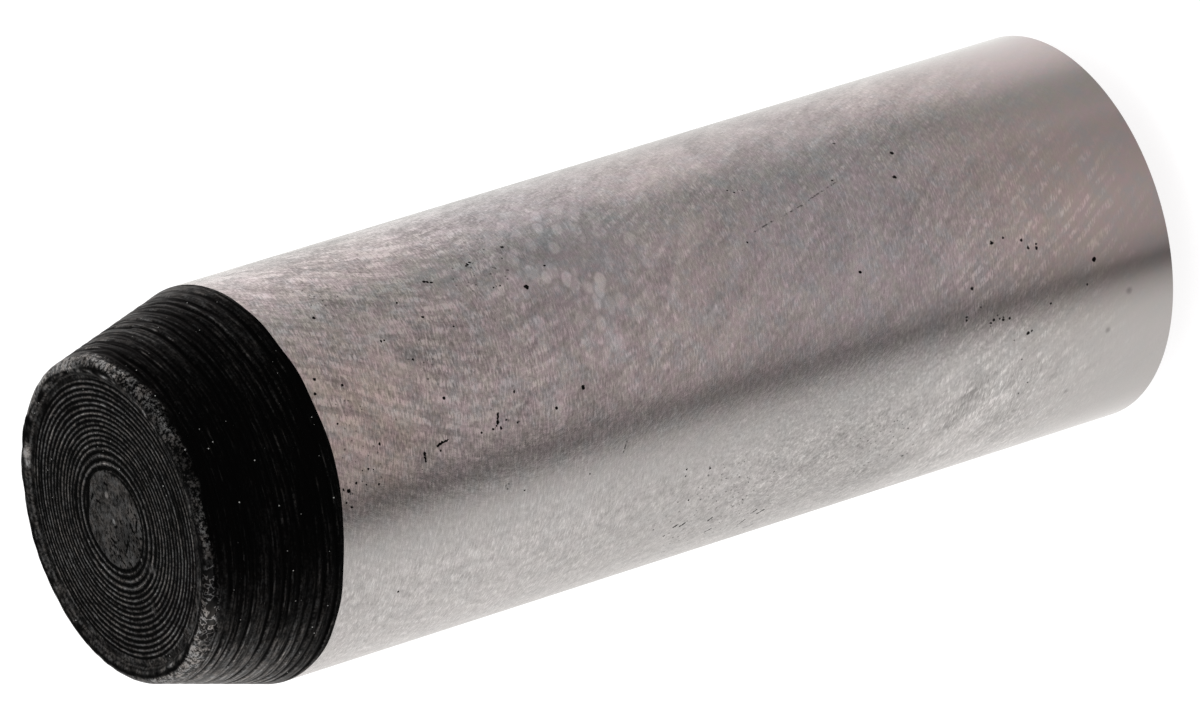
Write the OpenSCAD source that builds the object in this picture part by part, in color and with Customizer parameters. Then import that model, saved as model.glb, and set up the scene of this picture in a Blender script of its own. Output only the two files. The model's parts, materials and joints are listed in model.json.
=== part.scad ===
// Hardened and ground dowel pin: a straight shank with a tapered lead at one
// end and a low crown at the other. It stands on the flat in the middle of
// the crown, on the plane z = 0, with its axis along +Z and the lead on top.
// All sizes are in millimetres and all angles in degrees.

/* [Shank] */
// Diameter of the ground shank
shank_d = 8; // [6:0.5:16]
// Overall length, from the flat of the crown to the crest of the lip
pin_l = 24; // [12:1:80]

/* [Lead end] */
// Length of the tapered lead, along the axis
lead_l = 2.7; // [1.5:0.1:3.5]
// Slope of the lead against the axis
lead_angle = 15.5; // [10:0.5:20]
// Radius of the rounded lip between the lead and the end face
lip_r = 0.2; // [0.15:0.01:0.3]
// How far the turned end face lies below the crest of the lip
face_depth = 0.09; // [0.02:0.01:0.14]

/* [Centre pip] */
// Diameter of the smooth pip in the middle of the end face
pip_d = 1.9; // [0.6:0.1:2.4]
// Width of the round-bottomed groove that runs round the pip
pip_groove_w = 0.1; // [0.06:0.01:0.2]

/* [Crown end] */
// Height of the domed crown, along the axis
crown_h = 1; // [0.4:0.1:1.6]
// Diameter of the flat in the middle of the crown
land_d = 3.5; // [1:0.1:5]

/* [Hidden] */

// Bright ground steel, and the black scale that hardening leaves
ground_steel = [0.72, 0.7, 0.69];
black_scale = [0.09, 0.09, 0.09];

// Segments round the axis, and round the small arcs of the profile
$fn = 96;
small_arc_segments = 32;

shank_r = shank_d / 2;
land_r = land_d / 2;
pip_r = pip_d / 2;
pip_groove_r = pip_groove_w / 2;

// Heights of the lead's foot and of the turned end face
lead_z = pin_l - lead_l;
face_z = pin_l - face_depth;

// Centre of the lip's arc, which touches the slope of the lead and reaches
// the full length of the pin, and the point where arc and slope meet
lip_z = pin_l - lip_r;
lip_centre = [
    shank_r - (lip_z - lead_z) * tan(lead_angle) - lip_r / cos(lead_angle),
    lip_z
];
lip_tangent = lip_centre + lip_r * [cos(lead_angle), sin(lead_angle)];

// The dome of the crown is one ball: it meets the rim of the shank at the
// crown's height and the edge of the flat at z = 0
dome_z = (pow(shank_r, 2) + pow(crown_h, 2) - pow(land_r, 2)) / (2 * crown_h);
dome_r = norm([land_r, dome_z]);

// Half section of the crown: the ball, cut off flat at the bottom
module crown_profile() {
    intersection() {
        translate([0, dome_z]) circle(r = dome_r);
        square([shank_r, crown_h]);
    }
}

// Half section of the ground shank
module shank_profile() {
    translate([0, crown_h]) square([shank_r, lead_z - crown_h]);
}

// Half section of the lead end: slope, rounded lip, sunk end face, and the
// groove that leaves the pip standing
module lead_profile() {
    difference() {
        union() {
            polygon([
                [0, lead_z],
                [shank_r, lead_z],
                lip_tangent,
                lip_centre,
                [lip_centre.x, face_z],
                [0, face_z]
            ]);
            translate(lip_centre) circle(r = lip_r, $fn = small_arc_segments);
        }
        translate([pip_r + pip_groove_r, face_z])
            circle(r = pip_groove_r, $fn = small_arc_segments);
    }
}

// The pin is turned from one bar: the shank and crown are ground bright, and
// the lead end keeps its black hardening scale
module dowel_pin() {
    color(ground_steel) rotate_extrude() {
        crown_profile();
        shank_profile();
    }
    color(black_scale) rotate_extrude() lead_profile();
}

dowel_pin();
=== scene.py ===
"""Dowel pin: the finish of a hardened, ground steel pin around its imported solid."""
import functools
import json
import math

import bpy
import numpy as np
from mathutils import Matrix, Vector


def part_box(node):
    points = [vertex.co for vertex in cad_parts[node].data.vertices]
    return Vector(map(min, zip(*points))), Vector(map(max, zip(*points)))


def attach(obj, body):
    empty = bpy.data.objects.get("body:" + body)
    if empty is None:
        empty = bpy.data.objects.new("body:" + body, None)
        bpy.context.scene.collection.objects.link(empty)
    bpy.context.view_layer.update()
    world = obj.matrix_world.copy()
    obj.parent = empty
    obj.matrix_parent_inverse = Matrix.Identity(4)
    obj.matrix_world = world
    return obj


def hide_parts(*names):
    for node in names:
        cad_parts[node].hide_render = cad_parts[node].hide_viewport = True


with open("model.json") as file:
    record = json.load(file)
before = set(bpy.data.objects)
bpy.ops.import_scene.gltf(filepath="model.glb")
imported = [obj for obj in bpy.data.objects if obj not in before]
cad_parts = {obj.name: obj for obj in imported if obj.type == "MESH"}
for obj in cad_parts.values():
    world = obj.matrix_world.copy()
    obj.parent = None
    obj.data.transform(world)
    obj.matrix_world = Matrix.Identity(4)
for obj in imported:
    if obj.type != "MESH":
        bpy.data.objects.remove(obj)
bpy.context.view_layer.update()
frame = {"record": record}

MM = 0.001
TURN = 2 * math.pi

# ------------------------------------------------------- sizes of the pin, in mm
mounts = {mount["name"]: mount for mount in frame["record"]["mounts"]}
shank_r = mounts["shank"]["dims"]["r_mm"]
shank_l = mounts["shank"]["dims"]["length_mm"]
pin_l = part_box("dowel_pin")[1].z / MM
crown_h = mounts["shank"]["pos_m"][2] / MM - shank_l / 2
lead_z = crown_h + shank_l
lead_angle = math.radians(15.5)
lip_r = 0.2
face_depth = 0.09
pip_r = 0.95
pip_groove_w = 0.1
land_r = 1.75

# The lathe's axis lies a little beside the grinder's, so the black lead end is
# off centre, and its edge runs at a slant round the shank
lathe_offset = 0.045
lathe_angle = math.radians(131.6)
lathe = np.array([math.cos(lathe_angle), math.sin(lathe_angle)]) * lathe_offset

# Feed of the facing tool: coarse round the pip, finer outside it
coarse_feed = 0.149
fine_feed = 0.1065
coarse_end_r = 1.45
pip_groove_end_r = pip_r + pip_groove_w / 2

face_z = pin_l - face_depth
lip_z = pin_l - lip_r
lip_axis_r = shank_r - (lip_z - lead_z) * math.tan(lead_angle) - lip_r / math.cos(lead_angle)
lip_inner_r = lip_axis_r - math.sqrt(lip_r ** 2 - (lip_r - face_depth) ** 2)
lip_inner_turn = math.atan2(lip_r - face_depth, lip_inner_r - lip_axis_r)
lead_top_z = lip_z + lip_r * math.sin(lead_angle)
dome_z = (shank_r ** 2 + crown_h ** 2 - land_r ** 2) / (2 * crown_h)
dome_r = math.hypot(land_r, dome_z)

# How fine the mesh is: points in a ring, and rings of points over each part
columns = 384
rings_per_feed = 7.5
lip_rings = 20
lead_rings = 110
shank_rings = 12
crown_rings = 10

rng = np.random.default_rng(11)


# ---------------------------------------------------------- fields over the skin
def ripple(most_turns):
    """A smooth random function of the angle that closes on itself, about -1 to 1."""
    turns = np.arange(1, most_turns + 1)
    phase = rng.uniform(0, TURN, most_turns)
    size = rng.normal(0, 1, most_turns) / math.sqrt(most_turns)

    def value(angle):
        angle = np.asarray(angle)[..., None]
        return (size * np.cos(turns * angle + phase)).sum(-1)

    return value


def lumps(most_turns, spacing, count):
    """A random field over angle and place, closed round the pin, with lumps about spacing mm apart."""
    turns = rng.integers(-most_turns, most_turns + 1, count)
    wave = rng.normal(0, 1, count) * TURN / (2 * spacing)
    phase = rng.uniform(0, TURN, count)

    def value(angle, place):
        angle, place = np.broadcast_arrays(angle, place)
        waves = turns * angle[..., None] + wave * place[..., None] + phase
        return np.cos(waves).sum(-1) * math.sqrt(2 / count)

    return value


def tool_marks(closest, widest, count, wander):
    """Marks that run round the pin, closest to widest mm apart, each wandering a little on its way."""
    wave = TURN / rng.uniform(closest, widest, count)
    phase = rng.uniform(0, TURN, count)
    drift = [ripple(4) for _ in range(count)]

    def value(angle, place):
        total = sum(
            np.cos(k * place + p + wander * d(angle)) for k, p, d in zip(wave, phase, drift)
        )
        return total * math.sqrt(2 / count)

    return value


def smooth_step(low, high, value):
    """0 at low, 1 at high, and smooth between them."""
    share = np.clip((value - low) / (high - low), 0, 1)
    return share * share * (3 - 2 * share)


def bell(away, reach):
    """1 in the middle, and next to nothing at twice the reach."""
    return np.exp(-(away / reach) ** 2)


def hump(angle, middle, width):
    """A bell over the angle that closes on itself, with its middle and width in degrees."""
    return bell((np.degrees(angle) - middle + 180) % 360 - 180, width)


def humps(angle, base, *rows):
    """A value that changes round the pin: a base, and humps on it by height, middle and width."""
    return base + sum(height * hump(angle, middle, width) for height, middle, width in rows)


# ------------------------------------------------------------------ the mesh
class Skin:
    """Rings of points, from the middle of the end face over the lip and down to the crown's flat.

    Each point has a value for how far its scale is rubbed off, from 0 for black scale, which also carries
    painted sheen and highlights on the lip and the cone, and painted shade on the face's crests and in the
    cone's grooves. ragged is about 0 for whole skin, 1 for torn skin and more where it is torn in loops. On
    the pip it is below 0, the lower the more pitted."""

    def __init__(self):
        self.points, self.wear, self.ragged = [], [], []
        self.faces, self.face_finish = [], []
        self.above = None
        self.finish = 0
        self.sharp = set()

    def add(self, x, y, z, wear=0.0, ragged=0.0, sharp=False):
        """Adds a ring of points or a single point, and joins it to the one before."""
        given = np.broadcast_arrays(x, y, z, wear, ragged)
        x, y, z, wear, ragged = (np.atleast_1d(values).tolist() for values in given)
        first = len(self.points)
        self.points += zip(x, y, z)
        self.wear += wear
        self.ragged += ragged
        here = range(first, first + len(x))
        if self.above is not None:
            self.join(self.above, here)
        if sharp:
            self.sharp |= {frozenset((here[i], here[i - 1])) for i in range(len(here))}
        self.above = here

    def turned(self, angles, radius, z, wear, ragged, **kw):
        """Adds a ring about the lathe's axis."""
        x, y = lathe[0] + radius * np.cos(angles), lathe[1] + radius * np.sin(angles)
        self.add(x, y, z, wear, ragged, **kw)

    def join(self, above, below):
        """Joins two rings: one of them is a point, both have as many points, or below has twice as many."""
        made = []
        for i in range(max(len(above), len(below))):
            if len(above) == 1:
                made.append((above[0], below[i], below[(i + 1) % len(below)]))
            elif len(below) == 1:
                made.append((above[i], below[0], above[(i + 1) % len(above)]))
            elif len(above) == len(below):
                j = (i + 1) % len(above)
                made.append((above[i], below[i], below[j], above[j]))
            elif i < len(above):
                j = (i + 1) % len(above)
                a, b, c = below[2 * i], below[2 * i + 1], below[(2 * i + 2) % len(below)]
                made += [(above[i], a, b), (above[i], b, above[j]), (above[j], b, c)]
        self.faces += made
        self.face_finish += [self.finish] * len(made)


fine_angles = np.arange(columns) * TURN / columns
face_angles = fine_angles[::2]

# Material slots of the skin
black_scale, ground = 0, 1

# Rings that the turning tool left in the lead: mm down the slope from the lip,
# and how strong they are
lead_grooves = [
    (0.18, 0.3), (0.34, 0.8), (0.51, 0.5), (0.60, 0.7), (0.70, 0.2), (0.80, 0.5), (0.90, 0.35), (1.18, 1.0),
    (1.31, 0.2), (1.44, 0.85), (1.56, 0.3), (1.77, 0.9), (1.92, 0.6), (2.10, 0.75), (2.26, 0.75), (2.52, 0.8),
]
# Reach of each ring, then the reach and distance of the painted highlight line beside it
ring_reach = 0.032
groove_highlight_reach = 0.022
groove_highlight_away = 0.055

# How far down the slope the rings of points lie, before the last ones spread to
# the slanting edge
lead_slope_l = 2.66

# Random fields. All of them draw from one sequence, so their order matters
face_drift = lumps(3, 0.9, 24)
face_rough = lumps(46, 0.16, 90)
ring_tone = lumps(7, 0.12, 60)
pip_rough = lumps(9, 0.2, 60)
pip_edge = ripple(7)
lip_lumps = lumps(60, 0.16, 120)
lip_swell = lumps(14, 0.5, 40)
lip_wall = ripple(36)
lip_foot = ripple(90)
lip_patch = lumps(22, 0.25, 80)
lip_breaks = lumps(70, 0.3, 90)
groove_drift = [ripple(3) for _ in lead_grooves]
groove_fade = [ripple(14) for _ in lead_grooves]
cone_fine = tool_marks(0.05, 0.09, 10, 1.2)
cone_patch = lumps(5, 1.0, 30)
edge_wave = ripple(24)
groove_wander = lumps(20, 0.35, 50)
cone_breaks = lumps(46, 0.09, 80)
cone_arcs = lumps(8, 0.1, 70)

# Smeared spots on the end face, where the tool's chip was pressed back into the
# grooves: degrees round, width, mm from the middle, reach
smears = [(-144, 3.5, 1.36, 0.11), (-168, 2, 1.93, 0.07)]
smear_bare = 0.62


def face_skin(radius, angle):
    """Height, bareness with painted shade, and raggedness at a place on the end face."""
    # The spiral: across is 0 in the middle of a groove, and 1 on the crest between two
    feeds = np.where(
        radius < coarse_end_r,
        (radius - pip_groove_end_r) / coarse_feed,
        (coarse_end_r - pip_groove_end_r) / coarse_feed + (radius - coarse_end_r) / fine_feed,
    )
    feeds = feeds + angle / TURN + 0.12 * face_drift(angle, radius)
    across = np.abs(2 * (feeds - np.floor(feeds)) - 1)
    crest = across ** 2
    rough = face_rough(angle, radius)
    # Outside the spiral lies a plain band
    plain_r = humps(angle, 2.78, (0.09, -42, 42), (-0.02, -150, 40))
    outer = smooth_step(plain_r, plain_r + 0.06, radius)
    grooves = -0.012 * (1 + 0.35 * rough) * (1 - crest) * (1 - outer) - 0.004 * outer * (1 + rough)
    # Crests are bare, and painted shade makes them darker on the sides towards the camera and away from it
    tone = np.clip(0.92 + 0.14 * rough + 0.2 * ring_tone(angle, radius), 0.1, 1.8)
    near_side_shade = smooth_step(0.1, 0.55, -np.sin(angle))
    far_side_shade = smooth_step(0.2, 0.9, np.sin(angle))
    tone = tone * (0.94 - 0.21 * near_side_shade - 0.2 * far_side_shade)
    bare_and_painted_light = (0.265 * smooth_step(0.22, 0.55, across) + 0.76 * crest ** 3) * tone
    plain = humps(angle, 0.2, (0.09, -70, 70), (0.07, 175, 60), (-0.02, 18, 34), (-0.05, 85, 35))
    bare_and_painted_light = bare_and_painted_light * (1 - outer) + plain * (1 + 0.3 * rough) * outer
    # The pip, and the shallow dark hollow round it
    edge = pip_r * (humps(angle, 1, (-0.04, 62, 16), (0.09, 6, 26)) + 0.015 * pip_edge(angle))
    on_pip = 1 - smooth_step(edge - 0.02, edge + 0.02, radius)
    around_pip = smooth_step(edge + 0.13, edge + 0.08, radius) * (1 - on_pip)
    around_pip = around_pip * humps(angle, 0.35, (0.65, 60, 90))
    rim = bell(radius - edge + 0.06, 0.04)
    pip = 0.003 * pip_rough(angle, radius)
    pip_bare = 0.4 + 0.03 * pip_rough(angle, radius) + 0.06 * rim
    height = grooves * (1 - on_pip) - 0.01 * around_pip + pip * on_pip
    bare_and_painted_light = bare_and_painted_light * (1 - on_pip) * (1 - 0.85 * around_pip) + pip_bare * on_pip
    pitted = on_pip * (0.45 + 0.55 * hump(angle, -150, 80) * smooth_step(0.1, 0.6, radius))
    for middle, width, at, reach in smears:
        smear = hump(angle, middle, width) * bell(radius - at, reach)
        height = height * (1 - 0.8 * smear)
        bare_and_painted_light = bare_and_painted_light + (smear_bare - bare_and_painted_light) * smear
    return np.minimum(height, 0), bare_and_painted_light, 0.15 - pitted


def add_face(skin):
    """The pip, then the spiral of the facing tool."""
    height, bare_and_painted_light, ragged = face_skin(np.array([0.0]), np.array([0.0]))
    skin.add(*lathe, face_z + height, bare_and_painted_light, ragged)
    pip_radii = np.linspace(0.1, pip_r - 0.05, 8)
    ring_radii = np.arange(pip_r - 0.035, lip_inner_r - 0.005, fine_feed / rings_per_feed)
    for radius in np.concatenate([pip_radii, ring_radii]):
        height, bare_and_painted_light, ragged = face_skin(np.full(face_angles.shape, radius), face_angles)
        skin.turned(face_angles, radius, face_z + height, bare_and_painted_light, ragged)


# How the lip is worn round the pin, with painted sheen on it: how bare its crest is, lightest as painted
# sheen along the top and bottom outline as the camera sees the pin, how strong the painted highlight lines on
# its sides are, how patchy it all is, and how far its torn skin runs in loops. Turns are places on the lip's
# arc in radians, 0 outwards
lip_wear_and_sheen = humps(
    fine_angles, 0.12, (0.98, -172, 30), (0.3, -140, 20), (1.0, 6, 30), (0.14, -32, 18), (0.08, -58, 16)
)
inner_highlight = humps(fine_angles, 0.4, (0.25, -150, 30), (0.2, -26, 26), (-0.1, 60, 50))
outer_highlight = humps(fine_angles, 0.05, (0.3, 178, 28), (0.3, -26, 17), (0.12, -118, 22))
wall_highlight = humps(fine_angles, 0.2, (0.2, 80, 90), (-0.1, -55, 45))
inner_turn = 1.95
outer_turn = humps(fine_angles, 0.36, (0.5, -100, 45))
wall_turn = 2.4
uneven = humps(fine_angles, 1, (-0.65, 135, 60))
looped = humps(fine_angles, 0.45, (0.55, -52, 30), (1.1, -130, 30))

# Bright chips on the lip's inner side: degrees round, width, turn, reach, and how
# bright they are
lip_chips = [(53.5, 2.4, 1.95, 0.38, 2.5), (58, 1, 2.2, 0.25, 1.8)]


def lip_broken(place):
    """How the lip's painted highlight lines are broken up."""
    return np.clip(0.65 + 0.75 * uneven * lip_breaks(fine_angles, place), 0, 1.8)


def add_lip(skin):
    """An arc, battered inwards, and rubbed to the steel from its crest outwards, with painted sheen and
    painted highlight lines on it.
    """
    angles = fine_angles
    start = humps(angles, 1.48, (0.3, 12, 32), (-0.3, -178, 30)) + 0.2 * lip_swell(angles, 0.0)
    for turn in np.linspace(lip_inner_turn, lead_angle, lip_rings):
        place = turn * lip_r
        dent = 0.008 * (1 + lip_lumps(angles, place)) + 0.006 * (1 + lip_swell(angles, place))
        dent = np.clip(dent, 0.0, 0.045) * humps(angles, 1, (-0.6, 130, 60))
        dent = dent * smooth_step(lip_inner_turn, lip_inner_turn - 0.6, turn)
        dent = dent * smooth_step(lead_angle, 0.6, turn)
        patchy = np.clip(0.88 + 0.24 * uneven * lip_patch(angles, place), 0.1, 1.6)
        broken = lip_broken(place)
        # Painted sheen along the top and bottom outline as the camera sees the pin, and painted highlight
        # lines beside it, on the rubbed crest
        bare_and_painted_light = 0.08 + lip_wear_and_sheen * smooth_step(start, start - 0.4, turn) * patchy * (1.05 - 10 * dent)
        bare_and_painted_light = bare_and_painted_light + inner_highlight * broken * bell(turn - inner_turn, 0.2)
        bare_and_painted_light = bare_and_painted_light + wall_highlight * bell(turn - wall_turn, 0.16)
        bare_and_painted_light = bare_and_painted_light + outer_highlight * broken * bell(turn - outer_turn, 0.24)
        for middle, width, at, reach, shine in lip_chips:
            bare_and_painted_light = bare_and_painted_light + shine * hump(angles, middle, width) * bell(turn - at, reach)
        radius = lip_axis_r + (lip_r - dent) * math.cos(turn)
        radius = radius - 0.012 * lip_wall(angles) * smooth_step(1.4, 2.3, turn)
        ragged = smooth_step(1.6, 1.3, turn) * looped
        skin.turned(angles, radius, lip_z + (lip_r - dent) * math.sin(turn), bare_and_painted_light, ragged)


# The edge where the grinder has cut the lead off, about the lathe's axis
toward = fine_angles - lathe_angle
edge_z = lead_z + lathe_offset / math.tan(lead_angle) * np.cos(toward) + 0.008 * edge_wave(fine_angles)
edge_z = humps(fine_angles, edge_z, (0.02, -45, 20), (-0.03, -90, 8), (0.04, -118, 13), (-0.04, -155, 9))
edge_r = np.sqrt(shank_r ** 2 - (lathe_offset * np.sin(toward)) ** 2) - lathe_offset * np.cos(toward)


def lead_marks(angles, place):
    """How deep the rings are at a place down the slope, and how strong the painted highlight beside them."""
    deep, groove_highlight = np.zeros(angles.shape), np.zeros(angles.shape)
    wander = groove_wander(angles, place) * humps(angles, 0.005, (0.024, 2, 36))
    for (middle, depth), drift, fade in zip(lead_grooves, groove_drift, groove_fade):
        away = place - middle - 0.006 * drift(angles) - wander
        depth = np.clip(depth * (0.95 + 0.55 * fade(angles)), 0, 1)
        deep = np.maximum(deep, depth * bell(away, ring_reach))
        groove_highlight = np.maximum(groove_highlight, depth * bell(away - groove_highlight_away, groove_highlight_reach))
    return deep, groove_highlight


def lead_places():
    """How far down the slope each ring of points lies: crowded where the tool left its rings."""
    steps = (-0.05, -0.025, 0, 0.025, 0.05)
    crowded = sorted(middle + step for middle, _ in lead_grooves for step in steps)
    even = np.linspace(0, lead_slope_l, lead_rings)[1:]
    even = [step for step in even if min(abs(step - place) for place in crowded) > 0.014]
    crowded = [step for i, step in enumerate(crowded) if i == 0 or step - crowded[i - 1] > 0.012]
    return sorted(step for step in crowded + even if step < lead_slope_l) + [lead_slope_l]


def add_lead(skin):
    """The cone with its tool marks, down to the slanting edge."""
    angles = fine_angles
    foot = humps(angles, 0.11, (0.07, -160, 30), (0.05, -25, 30)) + 0.04 * lip_foot(angles)
    slope = (lead_top_z - edge_z) / math.cos(lead_angle)
    # Painted sheen: the cone is lightest along its top and bottom outline as the camera sees it, over a
    # little real rubbing
    rubbed_and_sheen_round = humps(angles, 0.065, (0.95, -188, 34), (0.04, -150, 40), (0.62, 4, 25), (0.05, -38, 26))
    arcs_round = humps(angles, 0.12, (0.8, 8, 45), (0.45, -165, 35))
    deepest = 0.03 * humps(angles, 1, (0.7, 15, 45))
    for step in lead_places():
        # Only the last rings leave their place on the slope, to end along the slanting edge
        last = step == lead_slope_l
        spread = smooth_step(2.0, lead_slope_l, step) ** 2
        place = step + (slope - lead_slope_l) * spread
        z = np.maximum(lead_top_z - place * math.cos(lead_angle), edge_z)
        deep, groove_highlight = lead_marks(angles, place)
        ends = min(1, step / 0.15) * np.clip((slope - place) / 0.05, 0, 1)
        arcs = smooth_step(0.3, 1.1, cone_arcs(angles, place)) * arcs_round
        marks = (deepest * deep + 0.012 * arcs + 0.003 * (1 + cone_fine(angles, place))) * ends
        marks = np.clip(marks, 0, 0.055)
        radius = np.minimum(shank_r - (z - lead_z) * math.tan(lead_angle), edge_r)
        if last:
            radius, z = edge_r, edge_z
        fine = np.clip(0.8 + 0.6 * cone_breaks(angles, place), 0, 2) * cone_fine(angles, place)
        bare_and_painted_light = rubbed_and_sheen_round * np.clip(1 + 0.26 * fine + 0.24 * cone_patch(angles, place), 0.15, 2)
        groove_highlight = groove_highlight * np.clip(0.6 + 0.8 * cone_breaks(angles, place), 0, 2)
        # A painted highlight beside each ring, and painted shade in the rings and arcs
        bare_and_painted_light = bare_and_painted_light * (1 + 0.8 * groove_highlight) * np.clip(1 - 1.35 * deep, 0, 1) * (1 - 0.7 * np.clip(arcs, 0, 1))
        # The lip's torn skin, with its painted sheen and highlight lines, runs on over the top of the cone
        on_lip = smooth_step(foot, foot - 0.05, place)
        patchy = np.clip(0.8 + 0.5 * lip_patch(angles, place - 0.3), 0.05, 1.7)
        rubbed_and_sheen = lip_wear_and_sheen * patchy + outer_highlight * lip_broken(place) * bell(place / lip_r + outer_turn, 0.5)
        bare_and_painted_light = bare_and_painted_light + (np.maximum(rubbed_and_sheen, bare_and_painted_light * 0.7) - bare_and_painted_light) * on_lip
        skin.turned(angles, radius - marks, z, np.clip(bare_and_painted_light, -1, 1), on_lip * looped, sharp=last)


def add_shank(skin):
    """The shank and the crown, ground about their own axis."""
    around = np.arctan2(lathe[1] + edge_r * np.sin(fine_angles), lathe[0] + edge_r * np.cos(fine_angles))
    for share in [0.003, *np.linspace(0.05, 1, shank_rings)]:
        z = edge_z + (crown_h - edge_z) * share
        skin.add(shank_r * np.cos(around), shank_r * np.sin(around), z, sharp=share == 1)
    rim_turn, land_turn = math.asin(shank_r / dome_r), math.asin(land_r / dome_r)
    for turn in np.linspace(rim_turn, land_turn, crown_rings)[1:]:
        radius = dome_r * math.sin(turn)
        z = dome_z - dome_r * math.cos(turn)
        skin.add(radius * np.cos(around), radius * np.sin(around), z, sharp=turn == land_turn)
    skin.add(0, 0, 0)


def build_skin():
    skin = Skin()
    skin.finish = black_scale
    add_face(skin)
    add_lip(skin)
    add_lead(skin)
    skin.finish = ground
    add_shank(skin)
    return skin


def skin_object(skin, name, materials):
    mesh = bpy.data.meshes.new(name)
    mesh.from_pydata([[MM * c for c in point] for point in skin.points], [], skin.faces)
    for material in materials:
        mesh.materials.append(material)
    mesh.polygons.foreach_set("material_index", skin.face_finish)
    mesh.polygons.foreach_set("use_smooth", [True] * len(skin.faces))
    for word, values in (("wear", skin.wear), ("ragged", skin.ragged)):
        mesh.attributes.new(word, "FLOAT", "POINT").data.foreach_set("value", values)
    sharp = mesh.attributes.new("sharp_edge", "BOOLEAN", "EDGE")
    sharp.data.foreach_set("value", [frozenset(edge.vertices) in skin.sharp for edge in mesh.edges])
    mesh.update()
    thing = bpy.data.objects.new(name, mesh)
    bpy.context.scene.collection.objects.link(thing)
    return thing


# ------------------------------------------------------------------ materials
def on_shank(along, turn):
    """A place on the shank in mm: along from the lead end's top, and in degrees round from the line
    that faces the camera, down positive."""
    angle = math.radians(-90 - turn)
    return shank_r * math.cos(angle), shank_r * math.sin(angle), pin_l - along


class Graph:
    """Short words for building the nodes of a material or a world."""

    def __init__(self, owner):
        owner.use_nodes = True
        self.owner = owner
        self.nodes = owner.node_tree.nodes
        self.links = owner.node_tree.links

    def put(self, socket, value):
        if isinstance(value, bpy.types.NodeSocket):
            self.links.new(value, socket)
        elif value is not None:
            socket.default_value = value

    def shade(self, inputs):
        """Fills in the shader and hands back the finished material."""
        for word, value in inputs.items():
            self.put(self.nodes["Principled BSDF"].inputs[word], value)
        return self.owner

    @functools.cached_property
    def mm(self):
        """Place on the object in mm."""
        place = self.nodes.new("ShaderNodeTexCoord")
        return self.vector("SCALE", place.outputs["Object"], scale=1 / MM)

    def vector(self, operation, a, b=None, scale=None):
        node = self.nodes.new("ShaderNodeVectorMath")
        node.operation = operation
        self.put(node.inputs[0], a)
        self.put(node.inputs[1], b)
        if scale is not None:
            self.put(node.inputs["Scale"], scale)
        return node.outputs["Value"] if operation in ("DISTANCE", "DOT_PRODUCT") else node.outputs[0]

    def axis(self, vector, name):
        node = self.nodes.new("ShaderNodeSeparateXYZ")
        self.put(node.inputs[0], vector)
        return node.outputs[name]

    def math(self, operation, a, b=None, c=None):
        node = self.nodes.new("ShaderNodeMath")
        node.operation = operation
        for socket, value in zip(node.inputs, (a, b, c)):
            self.put(socket, value)
        return node.outputs[0]

    def fold(self, operation, values):
        """One value from many, by the same operation."""
        return functools.reduce(functools.partial(self.math, operation), values)

    def times(self, *values):
        return self.fold("MULTIPLY", values)

    def most(self, *values):
        return self.fold("MAXIMUM", values)

    def madd(self, value, amount, base=1):
        """A base with an amount of a value added."""
        return self.math("MULTIPLY_ADD", value, amount, base)

    def sway(self, noise, amount, base):
        """A base that a noise moves up and down."""
        return self.madd(self.math("SUBTRACT", noise, 0.5), amount, base)

    def blend(self, share, a, b):
        """a where the share is 0, and b where it is 1."""
        return self.madd(self.math("SUBTRACT", b, a), share, a)

    def middling(self, noise):
        """How far a noise is from its middle, which is 0 along thin curves."""
        return self.math("ABSOLUTE", self.math("SUBTRACT", noise, 0.5))

    def noise(self, scale, stretch=(1, 1, 1), place=None, detail=2.0, rough=0.5):
        """Noise between 0 and 1, with scale features a millimetre times the stretch along each axis."""
        node = self.nodes.new("ShaderNodeTexNoise")
        place = self.mm if place is None else place
        self.put(node.inputs["Vector"], self.vector("MULTIPLY", place, stretch))
        node.inputs["Scale"].default_value = scale
        node.inputs["Detail"].default_value = detail
        node.inputs["Roughness"].default_value = rough
        return node.outputs["Fac"]

    def ramp(self, value, low, high, to_low=0.0, to_high=1.0):
        """A smooth step from one value at low to another at high."""
        node = self.nodes.new("ShaderNodeMapRange")
        node.interpolation_type = "SMOOTHSTEP"
        for socket, given in zip(node.inputs, (value, low, high, to_low, to_high)):
            self.put(socket, given)
        return node.outputs[0]

    def mix(self, share, a, b, blend="MIX"):
        node = self.nodes.new("ShaderNodeMix")
        node.data_type = "RGBA"
        node.blend_type = blend
        for name, given in (("Factor_Float", share), ("A_Color", a), ("B_Color", b)):
            self.put(next(s for s in node.inputs if s.identifier == name), given)
        return next(s for s in node.outputs if s.identifier == "Result_Color")

    def tinted(self, share, colour, tint):
        """A colour, multiplied by a tint as far as the share says."""
        return self.mix(share, colour, self.mix(1.0, colour, tint, "MULTIPLY"))

    def bump(self, height, distance, strength=1.0):
        node = self.nodes.new("ShaderNodeBump")
        node.inputs["Strength"].default_value = strength
        node.inputs["Distance"].default_value = distance
        self.put(node.inputs["Height"], height)
        return node.outputs["Normal"]

    def attribute(self, name):
        node = self.nodes.new("ShaderNodeAttribute")
        node.attribute_name = name
        return node.outputs["Fac"]

    def voronoi(self, place, scale, share):
        """Distance to the nearest of scattered points, 1 in a share of their cells, and a random
        number for each cell."""
        node = self.nodes.new("ShaderNodeTexVoronoi")
        self.put(node.inputs["Vector"], place)
        node.inputs["Scale"].default_value = scale
        pick = self.nodes.new("ShaderNodeSeparateColor")
        self.links.new(node.outputs["Color"], pick.inputs[0])
        return node.outputs["Distance"], self.math("LESS_THAN", pick.outputs[0], share), pick.outputs[1]

    def away(self, along, turn):
        """Distance in mm to a place on the shank."""
        return self.vector("DISTANCE", self.mm, on_shank(along, turn))

    def spot(self, along, turn, reach):
        """1 at a place on the shank, and 0 from reach mm away."""
        return self.ramp(self.away(along, turn), 0, reach, 1, 0)

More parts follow.
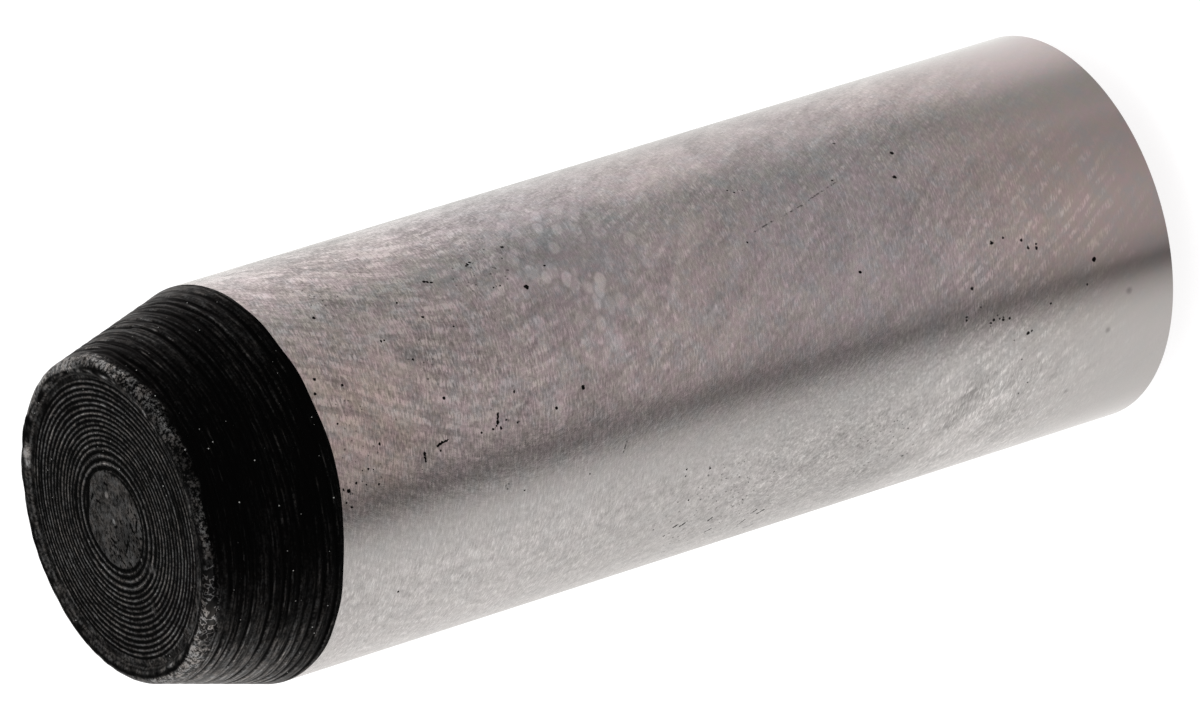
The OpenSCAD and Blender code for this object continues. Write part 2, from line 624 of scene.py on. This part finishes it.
    def line(self, start, end):
        """Distance in mm to the straight line between two points."""
        start, end = Vector(start), Vector(end)
        line = end - start
        from_start = self.vector("SUBTRACT", self.mm, start)
        share = self.math("DIVIDE", self.vector("DOT_PRODUCT", from_start, line), line.length_squared)
        share.node.use_clamp = True
        nearest = self.vector("SCALE", line, scale=share)
        return self.vector("DISTANCE", from_start, nearest)

    def towards(self, x, y):
        """1 where the shank faces the direction x, y, and -1 on its other side."""
        return self.vector("DOT_PRODUCT", self.mm, (x / shank_r, y / shank_r, 0))

    def turned(self, angle):
        """Place on the object in mm, turned about the pin's axis."""
        node = self.nodes.new("ShaderNodeVectorRotate")
        node.rotation_type = "Z_AXIS"
        self.put(node.inputs["Vector"], self.mm)
        self.put(node.inputs["Angle"], angle)
        return node.outputs[0]


# Colours of the black scale, from whole to rubbed bare, the lightest also standing for painted sheen and
# highlights, and of dust on it; then of the ground steel, from its darkest to its lightest, and of its faults
scale_black = (0.0006, 0.0006, 0.0006, 1)
scale_rubbed = (0.085, 0.083, 0.081, 1)
scale_bare_and_sheen = (0.22, 0.215, 0.21, 1)
dust_grey = (0.26, 0.26, 0.25, 1)
steel_dark = (0.34, 0.33, 0.325, 1)
steel_light = (0.88, 0.855, 0.845, 1)
pit_black = (0.006, 0.006, 0.006, 1)
soft_spot_grey = (0.12, 0.11, 0.11, 1)
scratch_grey = (0.12, 0.12, 0.12, 1)

# How far the steel lies from its darkest towards its lightest, before any marks
steel_middle = 0.415

# Tints that multiply the colours
scale_brownish = (1.05, 0.99, 0.95, 1)
scale_bluish = (0.985, 1.0, 1.015, 1)
steel_pinkish = (1.05, 0.962, 0.985, 1)
steel_olive = (0.99, 0.993, 0.925, 1)
steel_bluish = (0.90, 0.985, 1.0, 1)
steel_cool = (0.93, 0.965, 1.0, 1)
steel_sandy = (1.02, 0.975, 0.915, 1)
# Tints for the lighter and darker places: partly the steel's tone, partly painted reflection
steel_lighter_tone_and_reflection = (1.17, 1.165, 1.175, 1)
steel_darker_tone_and_reflection = (0.86, 0.86, 0.86, 1)

# Short dark scratches in the pip, from x, y to x, y in mm, and light dots: x, y and radius
pip_scratches = [
    ((-0.49, -0.21), (-0.67, -0.04)), ((-0.19, -0.5), (-0.31, -0.51)), ((-0.17, -0.76), (-0.36, -0.62)),
    ((-0.34, 0.35), (-0.43, 0.29)), ((0.46, 0.47), (0.4, 0.38)), ((0.6, 0.54), (0.52, 0.64)),
    ((0.74, -0.02), (0.69, -0.07)), ((-0.15, 0.08), (-0.15, 0.04)), ((-0.06, -0.17), (-0.1, -0.17)),
]
pip_dots = [(0.5, 0.05, 0.09), (-0.03, 0.08, 0.07), (-0.9, -0.48, 0.05)]


def black_scale_finish():
    g = Graph(bpy.data.materials.new("black_scale"))
    wear, ragged = g.attribute("wear"), g.attribute("ragged")
    grain = g.noise(16, detail=3, rough=0.65)
    scuffs = g.noise(7, detail=5, rough=0.75)
    # Fine grain on the end face and the lip, drawn out along the rings on the cone
    normal = g.nodes.new("ShaderNodeNewGeometry").outputs["Normal"]
    on_face = g.ramp(g.vector("DOT_PRODUCT", normal, (0, 0, 1)), 0.32, 0.5)
    on_face = g.most(on_face, g.ramp(ragged, 0.05, 0.3))
    fine = g.ramp(grain, 0.32, 0.68, 0.45, 1.5)
    brushed = g.noise(1, (3.4, 3.4, 24), detail=3, rough=0.65)
    drawn = g.times(g.ramp(brushed, 0.38, 0.63, 0.68, 1.38), g.ramp(grain, 0.36, 0.64, 0.75, 1.25))
    broken = g.blend(on_face, drawn, fine)
    # Torn skin: islands of bare steel in the scale, and where it is most torn, thin loops
    islands = g.noise(8, detail=5, rough=0.78)
    loops = g.ramp(g.middling(g.noise(5.5, detail=3)), 0.0, 0.045, 2.0, 0.4)
    torn = g.times(g.ramp(islands, 0.42, 0.58, 0.35, 1.45), g.ramp(grain, 0.4, 0.6, 0.5, 1.5))
    torn = g.blend(g.ramp(ragged, 1, 1.4), torn, loops)
    broken = g.blend(g.ramp(ragged, 0, 1), broken, torn)
    # The pip is smoother, with soft patches, rare pits, and short scratches
    patches = g.noise(3.4)
    smoother = g.times(g.ramp(patches, 0.38, 0.62, 0.78, 1.18), g.ramp(grain, 0.34, 0.66, 0.8, 1.2))
    broken = g.blend(g.ramp(ragged, -0.5, -0.1, 1, 0), broken, smoother)
    speckle = g.noise(1, (9, 16, 9), detail=3, rough=0.6)
    pitted = g.times(g.ramp(speckle, 0.53, 0.59), g.ramp(ragged, -0.8, 0.05, 0.9, 0))
    dash = g.fold("MINIMUM", [g.line((*start, face_z), (*end, face_z)) for start, end in pip_scratches])
    pitted = g.most(pitted, g.ramp(g.sway(grain, 0.05, dash), 0.014, 0.042, 0.95, 0))
    bare_and_painted_light = g.times(wear, broken, g.math("SUBTRACT", 1, pitted))
    for x, y, radius in pip_dots:
        near = g.vector("DISTANCE", g.mm, (x, y, face_z))
        bare_and_painted_light = g.math("ADD", bare_and_painted_light, g.ramp(near, radius * 0.4, radius, 0.7, 0))
    # The rubbed colours also paint the sheen, highlights and groove shade carried in from the skin
    colour = g.mix(g.ramp(bare_and_painted_light, 0.04, 0.9), scale_black, scale_rubbed)
    colour = g.mix(g.ramp(bare_and_painted_light, 0.8, 1.5), colour, scale_bare_and_sheen)
    hue = g.noise(4, place=g.vector("ADD", g.mm, (0, 7, 0)), detail=3, rough=0.7)
    hue = g.mix(g.ramp(hue, 0.38, 0.62), scale_brownish, scale_bluish)
    colour = g.mix(1.0, colour, hue, "MULTIPLY")
    # Dust
    near, chosen, size = g.voronoi(g.mm, 7, 0.45)
    dust = g.math("LESS_THAN", near, g.madd(size, 0.085, 0.015))
    dust = g.times(dust, chosen, g.ramp(size, 0.3, 1, 0.05, 0.85))
    colour = g.mix(dust, colour, dust_grey)
    return g.shade({
        "Base Color": colour,
        "Roughness": g.math("ADD", g.ramp(grain, 0.2, 0.8, 0.26, 0.45), g.ramp(wear, -0.25, 0, 0.6, 0)),
        "Specular IOR Level": 0.015,
        "Normal": g.bump(g.math("ADD", grain, scuffs), 0.003 * MM, 0.7),
    })


# Single pits in the ground skin: mm along, degrees round, radius in mm
pits = [
    (3.9, -40, 0.03), (6.55, -41, 0.025), (6.6, -40.5, 0.025), (6.67, -40, 0.025), (7.6, -42, 0.022),
    (7.65, -42.5, 0.025), (7.72, -43, 0.022), (8.6, -45, 0.03), (5.7, -36.5, 0.018), (6.0, -29.5, 0.018),
    (4.87, -26.2, 0.02), (4.95, -26, 0.014), (2.96, -17, 0.03), (15.3, -88.5, 0.04), (13.85, -40.5, 0.014),
    (13.95, -39, 0.016), (14.05, -39.5, 0.012), (14.14, -39, 0.01), (13.5, -22, 0.012), (16.08, -33, 0.016),
    (8.45, -29, 0.05), (7.8, -32, 0.02), (7.95, -32, 0.016), (6.5, -24, 0.02), (5.6, -5, 0.026),
    (3.15, -7, 0.02), (3.1, -21, 0.025), (3.6, -17, 0.025), (5.3, -18, 0.02), (9.1, -34, 0.02),
    (3.9, 1.8, 0.02), (3.38, 7.5, 0.016), (3.52, 7.5, 0.02), (3.63, 8.2, 0.012), (3.18, 10.2, 0.02),
    (2.98, 11.8, 0.035), (2.87, 11, 0.02), (2.98, 16.5, 0.022), (2.88, 14.8, 0.016), (3.4, 11.5, 0.014),
    (3.68, 12.5, 0.016), (4.06, 7.5, 0.014), (4.7, 12.2, 0.012), (5.2, 8.8, 0.016), (4.82, 9.2, 0.022),
    (5.28, 6.6, 0.026), (5.22, 6.9, 0.018), (7.17, -1, 0.024), (6.2, 7.3, 0.022), (6.67, 3.7, 0.016),
    (6.63, 4.8, 0.018), (6.62, 6, 0.02), (6.57, 6.8, 0.016), (6.65, 7.8, 0.022), (6.47, 7.3, 0.016),
    (6.82, 6, 0.014), (7.05, 7.5, 0.01), (8.0, 7, 0.028), (8.7, 3.7, 0.038), (8.56, 28.5, 0.014),
    (7.0, 27.2, 0.012), (15.65, -4, 0.03), (18.1, 10, 0.028), (18.82, -0.8, 0.034), (19.12, -1.2, 0.02),
    (19.52, 1, 0.024), (19.63, 3.7, 0.03), (19.82, 4.4, 0.028), (19.84, 3.2, 0.02), (21.12, 12.5, 0.04),
    (18.22, 16, 0.014), (17.84, 18.5, 0.022), (17.86, 17.6, 0.014), (18.42, 21.4, 0.02), (18.41, 22.3, 0.016),
    (18.5, 20.8, 0.026), (18.6, 19.8, 0.012), (18.65, 21, 0.014), (18.73, 21.6, 0.022), (18.74, 20.9, 0.016),
    (18.9, 21.8, 0.026), (19.33, 28, 0.03), (19.43, 27.6, 0.018), (19.93, 21.2, 0.018), (20.86, 19, 0.012),
    (17.7, -36, 0.034), (17.4, -28, 0.04), (16.75, -46, 0.016), (11.5, 39.2, 0.016), (10.92, 37, 0.012),
    (10.9, 39.2, 0.012), (11.08, 48.5, 0.014), (12.55, 56, 0.018), (10.78, 62, 0.018), (11.08, 64.8, 0.014),
    (10.38, 56.8, 0.014), (11.84, 52.8, 0.012), (16.6, 60, 0.02), (19.25, 48, 0.016), (4.1, 48, 0.016),
    (18.98, 28.8, 0.01), (19.19, 35.8, 0.012), (19.44, 44.8, 0.014),
]

# Longer pits, from one place to another: mm along, degrees round
gouges = [
    ((12.84, 71), (12.94, 68.6)), ((13.0, 65.4), (13.1, 64.2)), ((13.2, 66.8), (13.33, 65.8)),
    ((11.95, 68), (12.08, 67)), ((10.93, 58.8), (11.02, 58.2)), ((11.1, 59.4), (11.2, 58.6)),
    ((11.84, 61.2), (11.9, 60.4)), ((13.15, 75.6), (13.35, 74.8)), ((4.84, 7.8), (4.82, 10.2)),
    ((5.16, 7.2), (5.42, 6.3)), ((6.67, 3.6), (6.6, 6.2)),
]
gouge_r = 0.017

# Soft dark spots: mm along, degrees round, radius in mm
soft_spots = [(21.89, 24.8, 0.08), (21.36, 35.2, 0.07), (20.56, 53.8, 0.07), (19.25, 48.2, 0.04)]

# Places crowded with small pits: mm along, degrees round, reach in mm
crowds = [
    (3.6, -2, 1.5), (4.2, -50, 1.0), (5.6, -15, 0.9), (7.8, -38, 1.1), (12.0, 58, 2.3), (16.0, 53, 1.4),
    (3.3, 9, 1.0), (6.5, 6, 0.5),
]

# Where the steel is a little lighter or darker, partly its own tone and partly painted reflection where the
# mirrored room is too dim or too bright: mm along, degrees round, reach in mm, share
lighter_tone_and_reflection = [
    (10.5, -12, 6, 0.72), (18, 2, 5.5, 0.5), (4.5, 66, 6, 0.5), (15, 0, 3.5, 0.35), (22, 4, 3, 0.55),
    (4.1, -8, 1.5, 0.6), (3.7, -60, 2.6, 1.0), (22.3, -66, 3.4, 0.8), (6.5, 42, 3.2, 0.2),
    (7.2, -66, 1.8, 0.4), (4, -22, 2.4, 0.25), (8.4, 43, 2.2, 0.2), (12.6, 45, 2.2, 0.3),
]
darker_tone_and_reflection = [
    (2.8, 8, 2.6, 1.0), (14, 62, 4.6, 0.75), (4.5, 9, 3, 0.4), (7.5, 24, 6, 0.2), (15.5, -86, 2.5, 0.4),
    (4, -43, 1.2, 0.5), (16, 56, 2.2, 0.4), (9.4, -5, 1, 0.35), (18.6, -26, 3, 0.2), (7.2, -79, 1.5, 0.4),
]

# Fine scratches, from one place to another: mm along, degrees round
scratches = [
    ((13.8, -24.5), (14.3, -26)), ((14.55, -26.5), (15.1, -28)), ((15.3, -29), (16.1, -32)),
    ((9.5, 21.5), (9.35, 26)), ((6.8, 6), (7.1, 7.5)), ((8.15, 63), (8.3, 62)),
]

# Chatter marks: how many there are round the pin, and how they fan out on both
# sides of one place along it: its height, the reach of the bend, and the mm
# round the pin that they run for each mm along
chatter_count = 84
fan_z = 16.7
fan_bend = 2
fan_lean = 0.6

# A shallow crater: mm along, degrees round, and its radius in mm
crater = (6.6, 24.5)
crater_r = 0.05

# Small pits in the crowds: how many places for one fit in a millimetre, and the
# share of them that may hold one
crowd_scale = 9
crowd_share = 0.9


def pit_share(g):
    """1 in the single pits and the longer ones, and nearly as much in the small ones of the crowds."""
    edges = [g.math("SUBTRACT", g.away(along, turn), radius) for along, turn, radius in pits]
    edges += [g.math("SUBTRACT", g.line(on_shank(*start), on_shank(*end)), gouge_r) for start, end in gouges]
    near, chosen, size = g.voronoi(g.mm, crowd_scale, crowd_share)
    crowd = g.most(*(g.spot(*place) for place in crowds))
    chosen = g.times(chosen, g.ramp(g.math("ADD", crowd, g.times(size, 0.5)), 0.45, 0.75))
    small = g.math("SUBTRACT", g.math("DIVIDE", near, crowd_scale), g.madd(size, 0.014, 0.006))
    small = g.math("ADD", small, g.math("SUBTRACT", 1, chosen))
    shake = g.times(g.math("SUBTRACT", g.noise(18, detail=1), 0.5), 0.06)
    large = g.ramp(g.math("ADD", shake, g.fold("MINIMUM", edges)), 0, 0.01, 1, 0)
    return g.most(large, g.ramp(g.math("ADD", shake, small), -0.003, 0.007, 0.6, 0))


def scratch_share(g):
    """1 in the fine scratches and on the crater's edge, where they are not broken off."""
    edges = [g.math("ABSOLUTE", g.math("SUBTRACT", g.away(*crater), crater_r))]
    edges += [g.line(on_shank(*start), on_shank(*end)) for start, end in scratches]
    thin = g.ramp(g.fold("MINIMUM", edges), 0.008, 0.026, 1, 0)
    return g.times(thin, g.ramp(g.noise(13, detail=1), 0.44, 0.56, 0.1, 0.85))


def steel_hues(g, colour, facing, top, mottle):
    """Speckled hues, and slow changes from warm to cool along the pin."""
    warm = g.noise(2.8, detail=4, rough=0.75)
    green = g.noise(2.2, place=g.vector("ADD", g.mm, (9, 0, 0)), detail=4, rough=0.75)
    tint = g.mix(g.ramp(warm, 0.36, 0.64), steel_pinkish, steel_olive)
    tint = g.mix(g.ramp(green, 0.45, 0.66, 0, 0.7), tint, steel_bluish)
    colour = g.tinted(g.times(g.ramp(facing, 0.5, 0.95, 0.15, 1), g.madd(top, -0.45)), colour, tint)
    cool = g.most(g.spot(15.6, -24, 4.6), g.spot(9.6, -49, 4.2))
    colour = g.tinted(cool, colour, steel_cool)
    sandy = g.most(g.spot(3.6, -6, 2.6), g.spot(4.4, 0, 1.2), g.spot(3.8, 8, 1.0))
    sandy = g.most(sandy, g.times(g.spot(21, -4, 4), 0.6))
    sandy = g.times(sandy, g.ramp(mottle, 0.35, 0.6, 0.6, 1.2))
    return g.tinted(sandy, colour, steel_sandy)


def ground_steel_finish():
    g = Graph(bpy.data.materials.new("ground_steel"))
    # Places on the pin as the camera sees it: its top is towards +X, and its far end is at z = 0
    z = g.axis(g.mm, "Z")
    facing = g.towards(0.42, -0.91)
    side = g.towards(0.643, -0.766)
    top = g.ramp(g.towards(1, 0), 0.6, 0.95)
    low = g.ramp(side, 0.35, 0.68, 1, 0)
    lowest = g.ramp(side, 0.12, 0.36, 1, 0)
    behind = g.ramp(g.axis(g.mm, "Y"), 0.4, 2.4, 1, 0.3)
    # Chatter marks, and clouds and flecks that run along them
    along = g.math("SUBTRACT", z, fan_z)
    fan = g.math("SQRT", g.madd(along, along, fan_bend ** 2))
    chatter = g.turned(g.times(fan, -fan_lean / shank_r))
    angle = g.math("ARCTAN2", g.axis(chatter, "Y"), g.axis(chatter, "X"))
    drift = g.noise(1, (0.7, 0.7, 0.5), chatter, detail=1)
    waves = g.math("COSINE", g.madd(angle, chatter_count, g.times(drift, 14)))
    breaks = g.noise(1, (2.2, 2.2, 2.6), detail=1)
    clouds = g.noise(1, (1.3, 1.3, 0.8), chatter, rough=0.6)
    mottle = g.noise(1, (3, 3, 2), chatter, rough=0.55)
    flecks = g.noise(1, (15, 15, 9), chatter, rough=0.65)
    grit = g.noise(15, rough=0.55)
    crumbs = g.noise(5, detail=3, rough=0.6)
    # The grinding strokes lean a little out of the round
    lean = g.nodes.new("ShaderNodeCombineXYZ")
    g.put(lean.inputs["Z"], g.times(g.axis(g.mm, "X"), 0.22))
    strokes = g.noise(1, (7.5, 7.5, 28), g.vector("ADD", g.mm, lean.outputs[0]))
    rows = g.times(g.ramp(waves, -0.5, 0.8), g.ramp(breaks, 0.42, 0.6, 0.15, 1))
    ticks = g.times(rows, g.ramp(strokes, 0.42, 0.6, 0.2, 1))
    ticked = g.most(g.times(g.spot(20.9, -2, 2.4), 0.4), g.times(g.spot(18.8, 33, 4), 0.3))
    # Thin light curls, where the stone has smeared the skin
    curls = g.ramp(g.middling(g.noise(1, (6.5, 6.5, 5), detail=1)), 0.0, 0.035, 1, 0)
    curled = g.most(g.ramp(low, 0, 1, 0.09, 0.03), g.times(g.spot(13.4, 52, 3.4), 0.3))
    # Two calmer places: one plain, and one with light oval patches
    calm = g.spot(6.9, -43, 1.1)
    ovals_here = g.spot(9.6, -29, 3.2)
    near, chosen, shine = g.voronoi(g.vector("MULTIPLY", chatter, (1, 1, 1.35)), 2.5, 0.9)
    ovals = g.times(chosen, g.ramp(shine, 0, 1, 0.4, 1))
    ovals = g.times(g.ramp(near, 0.36, 0.54, 1, 0), ovals, ovals_here)
    # The side between the camera and the top is the roughest, the far end the smoothest
    low_coarse = g.times(g.ramp(z, 4, 18, 1.2, 0.7), g.madd(lowest, 0.45))
    coarse = g.blend(low, g.ramp(z, 10.5, 17, 1.05, 1.9), low_coarse)
    coarse = g.times(coarse, g.madd(top, 0.4), g.ramp(z, 1.8, 6, 0.05, 1))
    coarse = g.times(coarse, g.madd(calm, -0.5), g.madd(ovals_here, -0.55))
    # Light and dark: rows of chatter marks, then strokes or grit, then the softer changes
    row_zone = g.ramp(g.noise(0.4, (1, 1, 0.8)), 0.38, 0.6, 0.35, 1.2)
    row_marks = g.times(ticks, row_zone, g.ramp(g.ramp(facing, 0.6, 0.98), 0, 1, 0.3, 1))
    light = g.times(row_marks, g.madd(g.ramp(z, 14.5, 18.5), 0.12, 0.24))
    even = g.times(low, g.ramp(z, 11, 16, 0.85, 0), g.madd(lowest, g.ramp(z, 6, 9, -0.85, 0)))
    even = g.most(even, g.times(top, 0.6))
    stroked = g.blend(even, strokes, grit)
    light = g.sway(stroked, 0.75, light)
    light = g.madd(g.ramp(stroked, 0.58, 0.7), 0.14, light)
    light = g.sway(crumbs, g.times(lowest, g.ramp(z, 6, 10, 0.1, 0.6)), light)
    mid_zone = g.madd(lowest, g.ramp(z, 6, 10, 0.8, 0), g.ramp(side, 0.5, 0.78, 0.3, 1))
    mid_zone = g.times(mid_zone, behind)
    light = g.sway(clouds, g.times(mid_zone, 0.5), light)
    light = g.madd(curls, g.times(g.ramp(breaks, 0.45, 0.6), curled), light)
    light = g.sway(flecks, 0.5, light)
    light = g.sway(mottle, g.times(mid_zone, 0.42), light)
    light = g.madd(light, coarse, steel_middle)
    light = g.madd(ovals, 0.55, light)
    light = g.madd(ovals_here, -0.09, light)
    light = g.madd(ticks, ticked, light)
    colour = steel_hues(g, g.mix(light, steel_dark, steel_light), facing, top, mottle)
    # Lighter and darker places: partly the steel's tone, partly painted reflection
    for places, tint in ((lighter_tone_and_reflection, steel_lighter_tone_and_reflection), (darker_tone_and_reflection, steel_darker_tone_and_reflection)):
        spots = [g.times(g.spot(along, turn, reach), share) for along, turn, reach, share in places]
        colour = g.tinted(g.fold("ADD", spots), colour, tint)
    soft = [g.ramp(g.away(along, turn), r * 0.2, r * 1.4, 0.42, 0) for along, turn, r in soft_spots]
    colour = g.mix(g.most(*soft), colour, soft_spot_grey)
    colour = g.mix(pit_share(g), colour, pit_black)
    colour = g.mix(scratch_share(g), colour, scratch_grey)
    tangent = g.nodes.new("ShaderNodeTangent")
    tangent.direction_type = "RADIAL"
    tangent.axis = "Z"
    return g.shade({
        "Base Color": colour,
        "Metallic": 1,
        "Roughness": g.times(g.ramp(flecks, 0.3, 0.7, 0.22, 0.28), g.ramp(z, 0, 9, 0.62, 1)),
        "Anisotropic": 0.9,
        "Anisotropic Rotation": 0.25,
        "Tangent": tangent.outputs[0],
        "Normal": g.bump(g.times(flecks, coarse), 0.0025 * MM),
    })


pin = skin_object(build_skin(), "turned_pin", [black_scale_finish(), ground_steel_finish()])
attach(pin, "root")
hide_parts("dowel_pin")


# ----------------------------------------------------------- floor, light, camera
def bowl_mesh(name, flat_r, bend_r, height, sides=96, bend_rows=16):
    """A floor that bends up all round into a wall."""
    profile = [(flat_r, 0.0)]
    for row in range(1, bend_rows + 1):
        turn = math.pi / 2 * row / bend_rows
        profile.append((flat_r + bend_r * math.sin(turn), bend_r * (1 - math.cos(turn))))
    profile.append((flat_r + bend_r, height))
    around = [TURN * i / sides for i in range(sides)]
    points, faces = [(0, 0, 0)], []
    for radius, z in profile:
        points += [(radius * math.cos(angle), radius * math.sin(angle), z) for angle in around]
    for i in range(sides):
        j = (i + 1) % sides
        faces.append((0, 1 + i, 1 + j))
        for row in range(len(profile) - 1):
            low, high = 1 + row * sides, 1 + (row + 1) * sides
            faces.append((low + i, high + i, high + j, low + j))
    mesh = bpy.data.meshes.new(name)
    mesh.from_pydata(points, [], faces)
    mesh.polygons.foreach_set("use_smooth", [True] * len(faces))
    mesh.update()
    return mesh


# Paper that glows, so that it stays white all round the pin
paper = Graph(bpy.data.materials.new("paper")).shade({
    "Base Color": (0.35, 0.35, 0.35, 1),
    "Roughness": 1,
    "Specular IOR Level": 0,
    "Emission Color": (1, 0.995, 0.998, 1),
    "Emission Strength": 0.8,
})
floor_mesh = bowl_mesh("floor", flat_r=0.55, bend_r=0.2, height=1.04)
floor_mesh.materials.append(paper)
floor = bpy.data.objects.new("floor", floor_mesh)
bpy.context.scene.collection.objects.link(floor)
floor.visible_glossy = False
floor.visible_shadow = False

# The shank mirrors what lies below the horizon: bright behind the pin, dim on the
# camera's side, with a dark gap. Compass direction in degrees from +X towards +Y,
# then the strength and how neutral the light is (0 pinkish, 1 neutral)
room = [
    (-180, 0.81, 1), (-168, 0.79, 1), (-152, 0.70, 1), (-144, 0.57, 0.9), (-136, 0.41, 0.7),
    (-130, 0.23, 0.5), (-124, 0.16, 0.3), (-117, 0.33, 0), (-106, 0.425, 0), (-84, 0.475, 0),
    (-58, 0.42, 0), (-40, 0.40, 0.05), (-29, 0.455, 0.05), (-18, 0.405, 0.3), (-6, 0.385, 0.9),
    (1, 0.43, 0.8), (9, 0.58, 0.25), (24, 0.765, 0.25), (42, 0.87, 0.4), (62, 0.96, 0.9),
    (78, 1.06, 1.3), (90, 1.12, 1.3), (104, 1.00, 1), (118, 0.93, 1), (136, 0.85, 1),
    (160, 0.815, 1), (180, 0.81, 1),
]
pinkish = Vector((1.0, 0.878, 0.885))
neutral = Vector((1.0, 0.977, 0.957))
brightest = 1.4
world = bpy.data.worlds.new("studio")
bpy.context.scene.world = world
studio = Graph(world)
direction = studio.nodes.new("ShaderNodeTexCoord").outputs["Generated"]
compass = studio.nodes.new("ShaderNodeTexGradient")
compass.gradient_type = "RADIAL"
studio.put(compass.inputs["Vector"], direction)
below = studio.nodes.new("ShaderNodeValToRGB")
studio.put(below.inputs["Fac"], compass.outputs["Fac"])
stops = below.color_ramp.elements
stops.remove(stops[1])
for i, (angle, strength, share) in enumerate(room):
    stop = stops[0] if i == 0 else stops.new(angle / 360 + 0.5)
    stop.color = (*pinkish.lerp(neutral, share) * strength / brightest, 1)
# Above the horizon the light is dim at first and full overhead
up = studio.axis(direction, "Z")
above = studio.ramp(up, 0.55, 0.85, 0.12, 1)
background = studio.nodes["Background"]
studio.put(background.inputs["Color"], studio.mix(studio.ramp(up, 0.02, 0.2), below.outputs["Color"], above))
background.inputs["Strength"].default_value = brightest

camera_lens = 393.5
camera_sensor = 36
camera_distance = 260.46
camera_elevation = math.radians(31.91)
camera_roll = math.radians(107.33)
camera_aim = Vector((0.17, 0, 12.25)) * MM

camera = bpy.data.objects.new("camera", bpy.data.cameras.new("camera"))
bpy.context.scene.collection.objects.link(camera)
bpy.context.scene.camera = camera
camera.data.lens = camera_lens
camera.data.sensor_width = camera_sensor
camera.data.clip_start = 0.01
camera.data.clip_end = 10
back = Vector((0, -math.cos(camera_elevation), math.sin(camera_elevation)))
camera.location = camera_aim + back * camera_distance * MM
level = (-back).to_track_quat("-Z", "Y").to_matrix().to_4x4()
camera.matrix_world = Matrix.Translation(camera.location) @ level @ Matrix.Rotation(-camera_roll, 4, "Z")
bpy.context.scene.view_settings.view_transform = "Standard"
